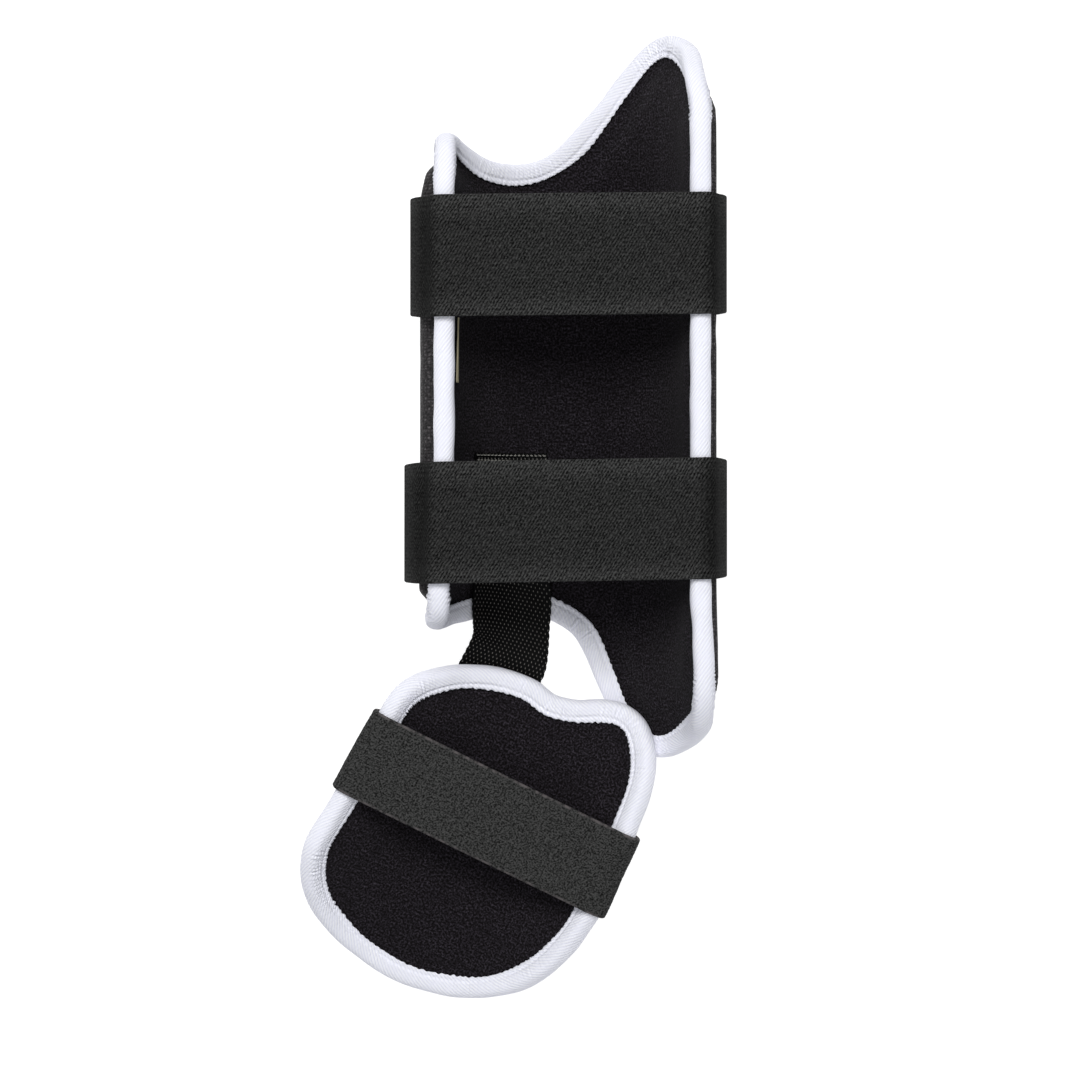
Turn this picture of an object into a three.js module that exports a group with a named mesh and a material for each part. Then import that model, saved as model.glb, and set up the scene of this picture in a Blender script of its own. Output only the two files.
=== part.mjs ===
// Batter's leg and foot guard: a padded shin guard, open at the calf, with an instep guard on a tether.
// It lies on its padded front, inside up. Millimetres, +X across the leg, +Y towards the knee, +Z up.
import * as THREE from "three";

// Driving sizes

const GAP = 0.3; // between pieces that touch
const BOUND_HALF = 2.6; // half the pad's thickness where the binding grips it
const BOUND_DEPTH = 5.6; // how far in from the edge the pad stays that thin
const SWELL = 7; // further in, over which the pad swells to its full thickness

const LEG = {
  flat: 10, // half of the strip along the front that is pressed flat by the floor
  turn: 44.8, // radius of the middle surface from the front to the sides
  half: 7, // half the pad's full thickness
  seam: 3.1, // height of the shell's inner face over the middle surface
  leftLean: 3.6, // how far the left side leans in at its rim
  leftFootLean: 1.4, // the same at the lower end
  rightLean: 0.6,
  leanStart: 40, // height at which the lean begins
  leanRise: 26,
  leftSpread: 1.2, // how far the left side stands out lower down
  spreadRise: 30,
  leanFade: { from: 5, to: 70 }, // stretch over which the left side's lean comes in
  leftTip: { from: 166, lean: 3.9 }, // how the upper tips lean in, and where that begins
  rightTip: { from: 203, lean: 3 },
  tips: { reach: 23, start: 16, rise: 40 },
  lift: { upper: 150, lower: 5, reach: 85, height: 3 }, // how the two ends curve up off the floor
};

const FOOT = {
  flat: 10,
  turn: 62,
  half: 5,
  seam: 2.2,
  x: -37.6, // middle of the instep pad, from the leg's centre line and the crown of the arch
  y: -97.8,
  yaw: -26.3, // degrees, how the pad is turned on the floor
  tilt: 5, // degrees, how its ankle end is raised
};

// How finely each pad is divided: the lengths that its edge rows are measured on, and the rows in between
const LEG_GRID = { width: 250, columns: 20, length: 260, rows: 5 };
const FOOT_GRID = { width: 130, columns: 8, length: 125, rows: 7 };

const BINDING = { half: 4.3, channel: 3.3, depth: 5.2, noseSteps: 4 };
const STRAP_STEPS = 60; // along a strap
const STRAP_ROWS = [-0.5, 0, 0.5]; // across a strap, as shares of its width
const LEG_STRAP = { width: 50, thickness: 1.8, tail: [44, 37, 30], crown: 0.5 };

// A leg strap's way over the rim. It comes up outside the rim's nose, by shares of its reach past the nose,
// then lies over the nose, out by millimetres.
const LEG_STRAP_BEND = [
  { share: 1, up: -22 },
  { share: 0.9, up: -12.5 },
  { share: 0.7, up: -5 },
];
const LEG_STRAP_TOP = [
  { out: 6.4, rise: -5.6 },
  { out: 4.8, rise: -1.7 },
  { out: 2.6, rise: 0 },
  { out: -8, rise: 0.2 },
];
const LEG_STRAPS = [
  { name: "strap_upper", along: 144, turn: 0.6, bulge: { left: 2, right: 2.8 } },
  { name: "strap_lower", along: 35, turn: 0.6, bulge: { left: 5, right: 2.8 } },
];
const FOOT_STRAP = {
  width: 37,
  thickness: 1.8,
  tail: [26, 13, 4], // places of its sewn end, in from the rim
  along: 12.8,
  turn: 0,
  crown: 0.5,
  wrap: 5.9, // radius of its middle round the rim's nose
};
const FOOT_STRAP_BEND = { degrees: [-20, 35, 90], inner: 10, rise: 0.2 };

const WEBBING = { thickness: 1.5, strands: 6, steps: 24 };
const WEBBING_ENDS = { legAcross: -28.8, legHalf: 20, footAcross: -22, footHalf: 17 };

// The webbing's way: its height over the lining or the binding at places along the leg, then along the foot
const WEBBING_ON_LEG = [
  { along: 64, over: "lining", rise: 0 },
  { along: 42, over: "lining", rise: 0 },
  { along: 24, over: "lining", rise: 0.3 },
  { along: 12, over: "lining", rise: -0.3 },
  { along: 0, over: "binding", rise: 0.8 },
  { along: -9, over: "binding", rise: 0 },
];
const WEBBING_UNDER_FOOT = [74, 62, 48, 36];

const LABEL = { across: -66, along: 106.5, width: 6, length: 27, thickness: 0.6 };
const LABEL_COLUMNS = [-0.5, -0.17, 0.17, 0.5];

// Edge of each pad, as the middle of the binding's nose: across is measured round the curved middle surface
// from its centre line, along lengthwise. A corner row ends one of the outline's four sides.
const LEG_EDGE = [
  { across: -90, along: -1.5, corner: true },
  { across: -76, along: -6 },
  { across: -52, along: -4 },
  { across: -25, along: 0.4 },
  { across: -8, along: -2.6 },
  { across: 6.2, along: -11.6 },
  { across: 15.8, along: -31 },
  { across: 24, along: -48 },
  { across: 33, along: -58.5 },
  { across: 43, along: -61.2 },
  { across: 63, along: -55.1 },
  { across: 82, along: -47 },
  { across: 92, along: -36, corner: true },
  { across: 94.8, along: -18 },
  { across: 94.8, along: 30 },
  { across: 94.8, along: 130 },
  { across: 94.8, along: 186 },
  { across: 91.8, along: 207, corner: true },
  { across: 79.5, along: 220.5 },
  { across: 61, along: 232.2 },
  { across: 47.5, along: 236.3 },
  { across: 36.3, along: 232.8 },
  { across: 13.6, along: 208 },
  { across: -1.5, along: 191.8 },
  { across: -12, along: 185.4 },
  { across: -24, along: 183.7 },
  { across: -38, along: 185.4 },
  { across: -53, along: 191 },
  { across: -68, along: 193.4 },
  { across: -87, along: 187, corner: true },
  { across: -94.8, along: 167 },
  { across: -94.8, along: 115 },
  { across: -94.8, along: 45 },
  { across: -94.8, along: 12 },
];

const FOOT_EDGE = [
  { across: -54, along: -53, corner: true },
  { across: -30, along: -65.5 },
  { across: -2, along: -69.6 },
  { across: 27.7, along: -61.4 },
  { across: 50.4, along: -41.3, corner: true },
  { across: 61.6, along: -10.4 },
  { across: 61, along: 12 },
  { across: 60, along: 32 },
  { across: 54.5, along: 57.8, corner: true },
  { across: 42.5, along: 71.2 },
  { across: 32.8, along: 73.7 },
  { across: 24.4, along: 71.5 },
  { across: 13.3, along: 65.9 },
  { across: 3.2, along: 63.4 },
  { across: -7.4, along: 65.3 },
  { across: -21, along: 63.9 },
  { across: -42.2, along: 56.2 },
  { across: -59.6, along: 42.7, corner: true },
  { across: -63, along: 24 },
  { across: -65.4, along: -8 },
  { across: -67.8, along: -34 },
];

const COLOURS = {
  cover: 0x232223,
  lining: 0x17171b,
  binding: 0xeceaf2,
  elastic: 0x2a2a29,
  footElastic: 0x3c3a39,
  webbing: 0x161616,
  label: 0xa98d5c,
};

// Small helpers

const smooth = (t) => THREE.MathUtils.smoothstep(t, 0, 1);
const rad = THREE.MathUtils.degToRad;
const swell = (inset) => smooth((inset - BOUND_DEPTH) / SWELL);

// A closed solid from its corner points and quads or triangles, with its faces turned outwards
function solid(points, faces) {
  const triangles = faces.flatMap((f) => (f.length === 4 ? [[f[0], f[1], f[2]], [f[0], f[2], f[3]]] : [f]));
  const volume = triangles.reduce((sum, [a, b, c]) => {
    return sum + points[a].dot(new THREE.Vector3().crossVectors(points[b], points[c]));
  }, 0);
  const turned = volume < 0 ? triangles.map(([a, b, c]) => [a, c, b]) : triangles;
  const geometry = new THREE.BufferGeometry().setFromPoints(points);
  geometry.setIndex(turned.flat());
  geometry.computeVertexNormals();
  return geometry;
}

// A slab between two grids of points of the same size, closed round its edge
function slab(top, bottom) {
  const rows = top.length;
  const columns = top[0].length;
  const points = [...top.flat(), ...bottom.flat()];
  const at = (face, r, c) => (face * rows + r) * columns + c;
  const faces = [];
  for (let r = 0; r + 1 < rows; r++) {
    for (let c = 0; c + 1 < columns; c++) {
      faces.push([at(0, r, c), at(0, r, c + 1), at(0, r + 1, c + 1), at(0, r + 1, c)]);
      faces.push([at(1, r, c), at(1, r + 1, c), at(1, r + 1, c + 1), at(1, r, c + 1)]);
    }
  }
  const wall = (r0, c0, r1, c1) => faces.push([at(0, r0, c0), at(1, r0, c0), at(1, r1, c1), at(0, r1, c1)]);
  for (let c = 0; c + 1 < columns; c++) {
    wall(0, c, 0, c + 1);
    wall(rows - 1, c + 1, rows - 1, c);
  }
  for (let r = 0; r + 1 < rows; r++) {
    wall(r + 1, 0, r, 0);
    wall(r, columns - 1, r + 1, columns - 1);
  }
  return solid(points, faces);
}

// A slab of one thickness on both sides of a grid of points
function ribbon(grid, thickness) {
  const rows = grid.length;
  const columns = grid[0].length;
  const shifted = (sign) => grid.map((row, r) => row.map((point, c) => {
    const alongRow = row[Math.min(c + 1, columns - 1)].clone().sub(row[Math.max(c - 1, 0)]);
    const acrossRows = grid[Math.min(r + 1, rows - 1)][c].clone().sub(grid[Math.max(r - 1, 0)][c]);
    const normal = alongRow.cross(acrossRows).normalize();
    return point.clone().addScaledVector(normal, (sign * thickness) / 2);
  }));
  return slab(shifted(1), shifted(-1));
}

// Pads

// A pad's middle surface: a flat strip, a turn on each side, and straight walls above a quarter turn
function padPoint(pad, across, along, offset) {
  const side = Math.sign(across) || 1;
  const angle = THREE.MathUtils.clamp((Math.abs(across) - pad.flat) / pad.turn, 0, Math.PI / 2);
  const wall = Math.max(0, Math.abs(across) - pad.flat - (pad.turn * Math.PI) / 2);
  const reach = Math.min(Math.abs(across), pad.flat) + (pad.turn - offset) * Math.sin(angle);
  const rise = pad.half + pad.turn * (1 - Math.cos(angle)) + wall;
  const height = rise + offset * Math.cos(angle);
  const [shift, lift] = pad.bend ? pad.bend(side, along, rise) : [0, 0];
  return new THREE.Vector3(side * (reach - shift), along, height + lift);
}

LEG.bend = (side, along, rise) => {
  const { from, to } = LEG.leanFade;
  const left = THREE.MathUtils.lerp(LEG.leftFootLean, LEG.leftLean, smooth((along - from) / (to - from)));
  const spread = side < 0 ? LEG.leftSpread : 0;
  const lean = spread + (side < 0 ? left : LEG.rightLean);
  const wall = lean * smooth((rise - LEG.leanStart) / LEG.leanRise) - spread * smooth(rise / LEG.spreadRise);
  const tip = side < 0 ? LEG.leftTip : LEG.rightTip;
  const tipWall = tip.lean * smooth((rise - LEG.tips.start) / LEG.tips.rise);
  const shift = THREE.MathUtils.lerp(wall, tipWall, smooth((along - tip.from) / LEG.tips.reach));
  const past = Math.max(0, along - LEG.lift.upper, LEG.lift.lower - along);
  return [shift, LEG.lift.height * (past / LEG.lift.reach) ** 2];
};

// The outline's four sides, each as closely spaced points, in the order of its rows
function outlineSides(edge) {
  const steps = 40; // between two rows
  const nodes = edge.map((row) => new THREE.Vector3(row.across, row.along, 0));
  const curve = new THREE.CatmullRomCurve3(nodes, true, "centripetal");
  const corners = edge.flatMap((row, i) => (row.corner ? [i] : []));
  return corners.map((start, k) => {
    const end = k + 1 < corners.length ? corners[k + 1] : corners[0] + edge.length;
    const count = (end - start) * steps;
    return Array.from({ length: count + 1 }, (_, i) => {
      return curve.getPoint(((start + i / steps) / edge.length) % 1);
    });
  });
}

// Points at the given shares of a side's length
function pointsAt(side, shares) {
  const lengths = [0];
  for (let i = 1; i < side.length; i++) {
    lengths.push(lengths[i - 1] + side[i].distanceTo(side[i - 1]));
  }
  return shares.map((share) => {
    const target = share * lengths.at(-1);
    const next = Math.max(1, lengths.findIndex((length) => length >= target - 1e-9));
    const part = (target - lengths[next - 1]) / (lengths[next] - lengths[next - 1]);
    return side[next - 1].clone().lerp(side[next], part);
  });
}

// Shares of a length from 0 to 1: close together in the bound and swelling edges, even in between
function edgeShares(length, inner) {
  const edge = [0, BOUND_DEPTH, BOUND_DEPTH + SWELL / 2, BOUND_DEPTH + SWELL].map((d) => d / length);
  const first = edge.at(-1);
  const middle = Array.from({ length: inner }, (_, i) => first + ((1 - 2 * first) * (i + 1)) / (inner + 1));
  return [...edge, ...middle, ...edge.map((d) => 1 - d).reverse()];
}

// A pad's grid of places, blended from its four sides, with each place's distance from the edge
function padGrid(edge, division) {
  const [bottom, right, top, left] = outlineSides(edge);
  const columns = edgeShares(division.width, division.columns);
  const rows = edgeShares(division.length, division.rows);
  const low = pointsAt(bottom, columns);
  const high = pointsAt(top, columns.map((s) => 1 - s));
  const near = pointsAt(left, rows.map((t) => 1 - t));
  const far = pointsAt(right, rows);
  const border = [bottom, right, top, left].flat();
  const grid = rows.map((t, r) => columns.map((s, c) => {
    const place = new THREE.Vector3();
    place.addScaledVector(low[c], 1 - t).addScaledVector(high[c], t);
    place.addScaledVector(near[r], 1 - s).addScaledVector(far[r], s);
    place.addScaledVector(low[0], -(1 - s) * (1 - t)).addScaledVector(low.at(-1), -s * (1 - t));
    place.addScaledVector(high[0], -(1 - s) * t).addScaledVector(high.at(-1), -s * t);
    const inset = Math.min(...border.map((point) => point.distanceTo(place)));
    return { across: place.x, along: place.y, inset };
  }));
  const loop = [...low.slice(0, -1), ...far.slice(0, -1), ...high.toReversed().slice(0, -1)];
  return { grid, border, loop: [...loop, ...near.toReversed().slice(0, -1)] };
}

// One layer of a pad, between two heights over the middle surface that depend on the distance from the edge
function layer(pad, grid, lower, upper) {
  const face = (height) => grid.map((row) => row.map((place) => {
    return padPoint(pad, place.across, place.along, height(swell(place.inset)));
  }));
  return slab(face(upper), face(lower));
}

function shellGeometry(pad, grid) {
  const outside = (full) => -THREE.MathUtils.lerp(BOUND_HALF, pad.half, full);
  const seam = (full) => THREE.MathUtils.lerp(0, pad.seam, full);
  return layer(pad, grid, outside, seam);
}

function liningGeometry(pad, grid) {
  const seam = (full) => THREE.MathUtils.lerp(0, pad.seam, full) + GAP;
  const inside = (full) => THREE.MathUtils.lerp(BOUND_HALF, pad.half, full);
  return layer(pad, grid, seam, inside);
}

// The tape's section: out along one flange, round the nose, back along the other, and back inside the fold
function bindingSection() {
  const { half, channel, depth, noseSteps } = BINDING;
  const nose = (radius) => Array.from({ length: noseSteps + 1 }, (_, i) => {
    const angle = Math.PI / 2 - (Math.PI * i) / noseSteps;
    return { out: radius * Math.cos(angle), up: radius * Math.sin(angle) };
  });
  const flange = (radius) => [{ out: -depth, up: radius }, ...nose(radius), { out: -depth, up: -radius }];
  return [...flange(half), ...flange(channel).toReversed()];
}

// The binding, swept round the pad's edge loop, which runs anticlockwise seen from inside
function bindingGeometry(pad, loop) {
  const section = bindingSection();
  const count = loop.length;
  const points = loop.flatMap((place, i) => {
    const tangent = loop[(i + 1) % count].clone().sub(loop[(i - 1 + count) % count]).normalize();
    return section.map(({ out, up }) => {
      return padPoint(pad, place.x + out * tangent.y, place.y - out * tangent.x, up);
    });
  });
  const at = (i, j) => (i % count) * section.length + (j % section.length);
  const faces = loop.flatMap((_, i) => section.map((_, j) => {
    return [at(i, j), at(i + 1, j), at(i + 1, j + 1), at(i, j + 1)];
  }));
  return solid(points, faces);
}

// How far across a pad's rim lies on one side at a place along it
function rimAcross(border, side, along) {
  const nearby = 2;
  const close = border.filter((point) => point.x * side > 0 && Math.abs(point.y - along) < nearby);
  return side * Math.max(...close.map((point) => point.x * side));
}

// Straps

// A strap's grid: rows across its width, each a smooth line through the nodes for its place along the pad
function strapGrid(nodesAt, strap) {
  return STRAP_ROWS.map((share) => {
    const along = strap.along + share * strap.width;
    const nodes = nodesAt(along).map((node) => {
      node.y += node.x * Math.tan(rad(strap.turn));
      return node;
    });
    return new THREE.CatmullRomCurve3(nodes, false, "centripetal").getSpacedPoints(STRAP_STEPS);
  });
}

// The nodes of a strap's two halves, joined over a middle that stands a little higher
function joinHalves(left, right, crown) {
  const middle = left.at(-1).clone().lerp(right.at(-1), 0.5);
  middle.z += crown;
  return [...left, middle, ...right.toReversed()];
}

// A leg strap runs up the outer side, bulges past it, bends over the rim and lies flat across
function legStrapNodes(border, strap, along) {
  const seat = LEG.half + 2 * GAP + LEG_STRAP.thickness / 2;
  const crest = BINDING.half + 2 * GAP + LEG_STRAP.thickness / 2;
  const half = (side) => {
    const rim = Math.abs(rimAcross(border, side, strap.along));
    const nose = padPoint(LEG, side * rim, along, 0);
    const outer = LEG.flat + LEG.turn + LEG.half + (side < 0 ? strap.bulge.left : strap.bulge.right);
    const under = LEG_STRAP.tail.map((step) => padPoint(LEG, side * (rim - step), along, -seat));
    const reach = outer - side * nose.x;
    const bend = LEG_STRAP_BEND.map((row) => {
      return new THREE.Vector3(nose.x + side * row.share * reach, along, nose.z + row.up);
    });
    const top = LEG_STRAP_TOP.map((row) => {
      return new THREE.Vector3(nose.x + side * row.out, along, nose.z + crest + row.rise);
    });
    return [...under, ...bend, ...top];
  };
  return joinHalves(half(-1), half(1), LEG_STRAP.crown);
}

// The foot strap wraps round the rim's nose from the outer face and lies flat across
function footStrapNodes(border, along) {
  const seat = FOOT.half + GAP + FOOT_STRAP.thickness / 2;
  const half = (side) => {
    const rim = Math.abs(rimAcross(border, side, along));
    const nose = padPoint(FOOT, side * rim, along, 0);
    const under = FOOT_STRAP.tail.map((step) => padPoint(FOOT, side * (rim - step), along, -seat));
    const round = FOOT_STRAP_BEND.degrees.map((degrees) => {
      const x = side * FOOT_STRAP.wrap * Math.cos(rad(degrees));
      return nose.clone().add(new THREE.Vector3(x, 0, FOOT_STRAP.wrap * Math.sin(rad(degrees))));
    });
    const { inner, rise } = FOOT_STRAP_BEND;
    const last = nose.clone().add(new THREE.Vector3(-side * inner, 0, FOOT_STRAP.wrap + rise));
    return [...under, ...round, last];
  };
  return joinHalves(half(-1), half(1), FOOT_STRAP.crown);
}

// The webbing lies on the lining, passes over the bound arch and ends under the foot shell
function webbingGrid(footMatrix) {
  const above = { lining: LEG.half + GAP, binding: BINDING.half + GAP };
  const middle = WEBBING.thickness / 2;
  return Array.from({ length: WEBBING.strands + 1 }, (_, i) => {
    const share = (2 * i) / WEBBING.strands - 1;
    const onLeg = WEBBING_ON_LEG.map(({ along, over, rise }) => {
      const across = WEBBING_ENDS.legAcross + share * WEBBING_ENDS.legHalf;
      return padPoint(LEG, across, along, above[over] + middle + rise);
    });
    const underFoot = WEBBING_UNDER_FOOT.map((along) => {
      const across = WEBBING_ENDS.footAcross + share * WEBBING_ENDS.footHalf;
      return padPoint(FOOT, across, along, -(FOOT.half + GAP + middle)).applyMatrix4(footMatrix);
    });
    const curve = new THREE.CatmullRomCurve3([...onLeg, ...underFoot], false, "centripetal");
    return curve.getSpacedPoints(WEBBING.steps);
  });
}

// The label lies on the lining's left wall
function labelGrid() {
  const over = LEG.half + 2 * GAP + LABEL.thickness / 2;
  return [-0.5, 0.5].map((s) => LABEL_COLUMNS.map((t) => {
    return padPoint(LEG, LABEL.across + t * LABEL.width, LABEL.along + s * LABEL.length, over);
  }));
}

// Assembly

function piece(name, geometry, colour, roughness) {
  const material = new THREE.MeshStandardMaterial({ color: colour, roughness, metalness: 0 });
  const mesh = new THREE.Mesh(geometry, material);
  mesh.name = name;
  return mesh;
}

function footGuard() {
  const group = new THREE.Group();
  const { grid, border, loop } = padGrid(FOOT_EDGE, FOOT_GRID);
  const strap = strapGrid((along) => footStrapNodes(border, along), FOOT_STRAP);
  group.add(
    piece("foot_shell", shellGeometry(FOOT, grid), COLOURS.cover, 0.85),
    piece("foot_lining", liningGeometry(FOOT, grid), COLOURS.lining, 0.95),
    piece("foot_binding", bindingGeometry(FOOT, loop), COLOURS.binding, 0.8),
    piece("foot_strap", ribbon(strap, FOOT_STRAP.thickness), COLOURS.footElastic, 0.95),
  );
  group.rotation.set(rad(FOOT.tilt), 0, rad(FOOT.yaw), "ZXY");
  group.position.set(FOOT.x, FOOT.y, 0);
  group.position.z = -new THREE.Box3().setFromObject(group, true).min.z;
  group.updateMatrix();
  return group;
}

function legGuard() {
  const group = new THREE.Group();
  const { grid, border, loop } = padGrid(LEG_EDGE, LEG_GRID);
  group.add(
    piece("leg_shell", shellGeometry(LEG, grid), COLOURS.cover, 0.85),
    piece("leg_lining", liningGeometry(LEG, grid), COLOURS.lining, 0.95),
    piece("leg_binding", bindingGeometry(LEG, loop), COLOURS.binding, 0.8),
    piece("side_label", ribbon(labelGrid(), LABEL.thickness), COLOURS.label, 0.8),
  );
  for (const row of LEG_STRAPS) {
    const strap = strapGrid((along) => legStrapNodes(border, row, along), { ...LEG_STRAP, ...row });
    group.add(piece(row.name, ribbon(strap, LEG_STRAP.thickness), COLOURS.elastic, 0.85));
  }
  return group;
}

const guard = new THREE.Group();
const foot = footGuard();
guard.add(legGuard(), foot);
guard.add(piece("tether_webbing", ribbon(webbingGrid(foot.matrix), WEBBING.thickness), COLOURS.webbing, 0.7));

// The origin is under the middle of the whole guard
const box = new THREE.Box3().setFromObject(guard, true);
const middle = box.getCenter(new THREE.Vector3());
guard.position.set(-middle.x, -middle.y, -box.min.z);

export default guard;
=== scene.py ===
"""Looks of a batter's leg and foot guard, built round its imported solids.

Sizes are millimetres in the leg's own frame: x from the leg's centre line, y from the crown of the lower
arch, z from the floor. Points turn into metres in the part's frame as each mesh is made.
"""

import math
from collections import namedtuple
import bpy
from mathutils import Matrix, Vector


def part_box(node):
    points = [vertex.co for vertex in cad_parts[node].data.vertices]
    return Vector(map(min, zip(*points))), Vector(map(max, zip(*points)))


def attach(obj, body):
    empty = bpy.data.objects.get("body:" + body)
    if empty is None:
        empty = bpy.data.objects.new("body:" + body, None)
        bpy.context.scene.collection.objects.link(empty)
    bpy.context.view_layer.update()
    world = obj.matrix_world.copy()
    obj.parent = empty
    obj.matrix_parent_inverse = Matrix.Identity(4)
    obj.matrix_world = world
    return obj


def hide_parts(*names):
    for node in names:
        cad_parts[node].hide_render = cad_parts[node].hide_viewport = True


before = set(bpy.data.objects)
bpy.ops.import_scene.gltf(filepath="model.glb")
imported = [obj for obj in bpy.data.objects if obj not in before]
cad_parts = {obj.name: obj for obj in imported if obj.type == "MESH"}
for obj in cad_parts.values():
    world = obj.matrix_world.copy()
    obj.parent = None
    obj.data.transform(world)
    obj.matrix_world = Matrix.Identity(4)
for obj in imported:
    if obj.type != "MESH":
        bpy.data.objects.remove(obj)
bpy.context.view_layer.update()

from types import SimpleNamespace

import bpy
import numpy as np
from mathutils import Matrix, Vector

# Driving sizes

MM = 0.001  # metres in a millimetre
BOUND_HALF = 2.6  # half the pad's thickness where the binding grips it
BOUND_DEPTH = 5.6  # how far in from the edge the pad stays that thin
SWELL = 7.0  # further in, over which the pad swells to its full thickness
LINING_SWELL = 15.0  # the same on the lining's side, which rises more gently
GAP = 0.3  # between pieces that touch
BODY = "root"

LEG = SimpleNamespace(
    flat=10.0,  # half of the strip along the front that the floor presses flat
    turn=44.8,  # radius of the middle surface from the front to the sides
    half=7.0,  # half the pad's full thickness
    seam=3.1,  # height of the shell's inner face over the middle surface
    left_lean=3.6,  # how far the left side leans in at its rim
    left_foot_lean=1.4,  # the same at the lower end
    right_lean=0.6,
    right_foot_lean=-1.0,
    right_fade=(-32.0, 12.0),  # stretch over which the right side's lean comes in
    lean_start=40.0,
    lean_rise=26.0,
    left_spread=1.2,  # how far the left side stands out lower down
    spread_rise=30.0,
    lean_fade=(5.0, 70.0),  # stretch over which the left side's lean comes in
    left_tip=166.0,  # the upper tips lean in past these places
    left_tip_lean=3.9,
    right_tip=203.0,
    right_tip_lean=3.0,
    tip_reach=23.0,
    tip_start=16.0,
    tip_rise=40.0,
    lift_above=150.0,  # the ends curve up off the floor past these places
    lift_below=5.0,
    lift_reach=85.0,
    lift_height=3.0,
)
FOOT = SimpleNamespace(
    flat=10.0,
    turn=62.0,
    half=5.0,
    seam=2.2,
    x=-37.6,  # middle of the instep pad
    y=-97.8,
    yaw=-26.3,  # degrees, how the pad is turned on the floor
    tilt=5.0,  # degrees, how its ankle end is raised
)

# Edge of each pad, as the middle of the binding's nose: across is measured round the curved middle surface
Edge = namedtuple("Edge", "across along corner", defaults=[False])
LEG_EDGE = [
    Edge(-90, -1.5, True),
    Edge(-76, -6),
    Edge(-52, -4),
    Edge(-25, 0.4),
    Edge(-8, -2.6),
    Edge(6.2, -11.6),
    Edge(15.8, -31),
    Edge(24, -48),
    Edge(33, -58.5),
    Edge(43, -61.2),
    Edge(63, -55.1),
    Edge(82, -47),
    Edge(92, -36, True),
    Edge(94.8, -18),
    Edge(94.8, 30),
    Edge(94.8, 130),
    Edge(94.8, 186),
    Edge(91.8, 207, True),
    Edge(79.5, 220.5),
    Edge(61, 232.2),
    Edge(47.5, 236.3),
    Edge(36.3, 232.8),
    Edge(13.6, 208),
    Edge(-1.5, 191.8),
    Edge(-12, 185.4),
    Edge(-24, 183.7),
    Edge(-38, 185.4),
    Edge(-53, 191),
    Edge(-68, 193.4),
    Edge(-87, 187, True),
    Edge(-94.8, 167),
    Edge(-94.8, 115),
    Edge(-94.8, 45),
    Edge(-94.8, 12),
]
FOOT_EDGE = [
    Edge(-54, -53, True),
    Edge(-30, -65.5),
    Edge(-2, -69.6),
    Edge(27.7, -61.4),
    Edge(50.4, -41.3, True),
    Edge(61.6, -10.4),
    Edge(61, 12),
    Edge(60, 32),
    Edge(54.5, 57.8, True),
    Edge(42.5, 71.2),
    Edge(32.8, 73.7),
    Edge(24.4, 71.5),
    Edge(13.3, 65.9),
    Edge(3.2, 63.4),
    Edge(-7.4, 65.3),
    Edge(-21, 63.9),
    Edge(-42.2, 56.2),
    Edge(-59.6, 42.7, True),
    Edge(-63, 24),
    Edge(-65.4, -8),
    Edge(-67.8, -34),
]
EDGE_STEPS = 40  # between two rows of an outline

# Lengths that a pad's edge rows are measured on, and how close its rows lie at the edge and further in
LEG_GRID = SimpleNamespace(width=250.0, length=260.0, edge_step=1.1, step=2.0)
FOOT_GRID = SimpleNamespace(width=130.0, length=125.0, edge_step=1.0, step=1.5)

# Soft unevenness of a pad's faces: waves all over it and close to its binding, and their share on the lining
Uneven = namedtuple("Uneven", "height length seed")
UNEVEN = Uneven(0.35, 46.0, 3)
UNEVEN_EDGE = Uneven(0.16, 13.0, 5)
UNEVEN_LINING = 0.6

BINDING = SimpleNamespace(
    half=4.3,  # from the middle surface to the tape's outside
    channel=2.85,  # and to its inside
    depth=5.2,  # from the nose's middle to the tape's free edges
    step=0.5,  # between two sections
    nose_steps=12,
    flange_steps=11,
    inner_columns=7,
    plump=2.4,  # power of the nose's curve, where 2 is a circle
    groove=3.0,  # where the seam pulls the tape down, in from the nose's middle
    groove_depth=0.8,
    groove_width=0.5,
    flange_drop=0.35,  # how much lower the tape lies beyond the seam
    edge_drop=0.25,  # how far the free edge turns down
    roll=0.8,  # share of the depth from which it does
    stitch=3.0,
    stitch_tug=0.2,  # share of the groove's depth that comes and goes with the stitches
    bare=0.15,  # share of a stitch's length without thread, at each end
    scallop=0.3,  # how far the free edge wanders between stitches
    drift=0.35,  # and from place to place
    tight=22.0,  # radius of bend below which the tape pleats
    pleat_height=0.5,
    pleat_start=2.0,  # from the nose's middle, round the tape
    pleat_fade=4.0,
    slack=0.12,  # height of the soft waves along it
)
# Waves of the tape: length along it, seed, and pace across it. The first two take the side for the place
# across, so that each flange wanders in its own way.
TapeWave = namedtuple("TapeWave", "length seed across")
TAPE_WAVES = SimpleNamespace(
    scallop=TapeWave(4.1, 11, 9.0),
    drift=TapeWave(38.0, 13, 9.0),
    pleat=TapeWave(1.9, 17, 0.15),
    slack=TapeWave(21.0, 19, 2.0),
)

# A stitch: sections, sides, how it arches and sinks in, its blunt ends, and the share left bare at each
THREAD = SimpleNamespace(radius=0.22, rings=6, sides=6, arch=1.6, sink=0.35, blunt=6, tip=0.05, bare=0.12)
TAIL_SEAM = SimpleNamespace(inset=3.5, depth=13.0, pitch=2.6)  # boxes of stitches on the straps' tails

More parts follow.
